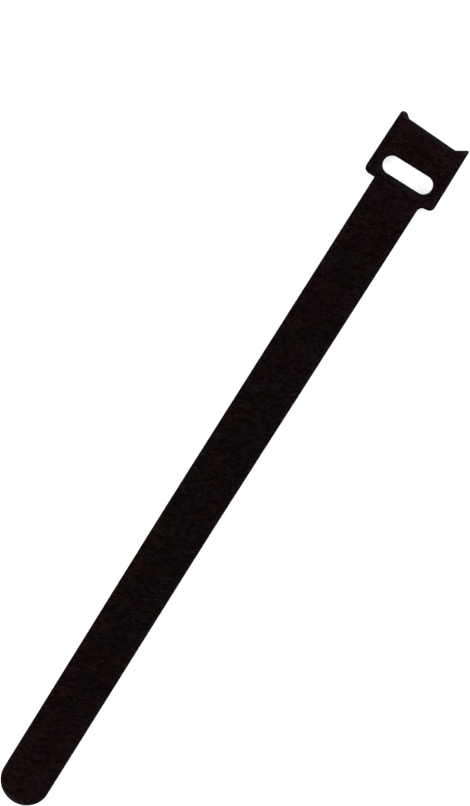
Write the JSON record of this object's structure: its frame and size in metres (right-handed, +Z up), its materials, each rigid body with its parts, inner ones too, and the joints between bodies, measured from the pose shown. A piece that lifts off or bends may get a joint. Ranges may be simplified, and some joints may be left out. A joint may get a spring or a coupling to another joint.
{
  "type": "hook and loop cable tie",
  "caption": "Flat reusable cable tie of back-to-back hook and loop tape: a strap with a rounded tail and a wider head, whose cross slot the strap is threaded through.",
  "frame": {"origin": "on the supporting surface, under the middle of the tie's box", "axes": "+X along the strap from the tail to the head, +Y to the left of that, +Z up from the hook side to the loop side"},
  "size_m": [0.2, 0.0194, 0.002],
  "materials": {
    "brushed_nylon_tape": "near-black brushed nylon loop pile on top, matt moulded hooks below"
  },
  "bodies": {
    "root": {"cable_tie": "brushed_nylon_tape"}
  },
  "joints": []
}
